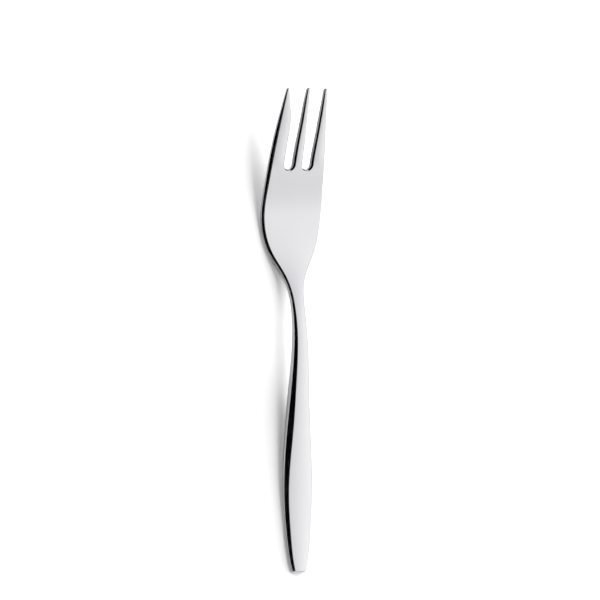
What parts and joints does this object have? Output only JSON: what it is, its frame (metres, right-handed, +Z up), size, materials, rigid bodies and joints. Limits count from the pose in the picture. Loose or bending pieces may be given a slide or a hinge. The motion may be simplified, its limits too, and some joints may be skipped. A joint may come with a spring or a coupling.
{
  "type": "pastry fork",
  "caption": "Small polished steel fork with short tapered tines, a broad cutting tine on the left, a slim bent neck and a thick tapered handle.",
  "frame": {"origin": "on the table, under the middle of the fork's length and width, with the fork lying face up at rest", "axes": "+Y along the fork towards the tips of the tines, +X across it to the right as seen from above with the tines pointing away, +Z up from the table; the broad cutting tine is at -X"},
  "size_m": [0.022, 0.155, 0.0143],
  "materials": {
    "polished_steel": "polished"
  },
  "bodies": {
    "root": {"fork": "polished_steel"}
  },
  "joints": []
}
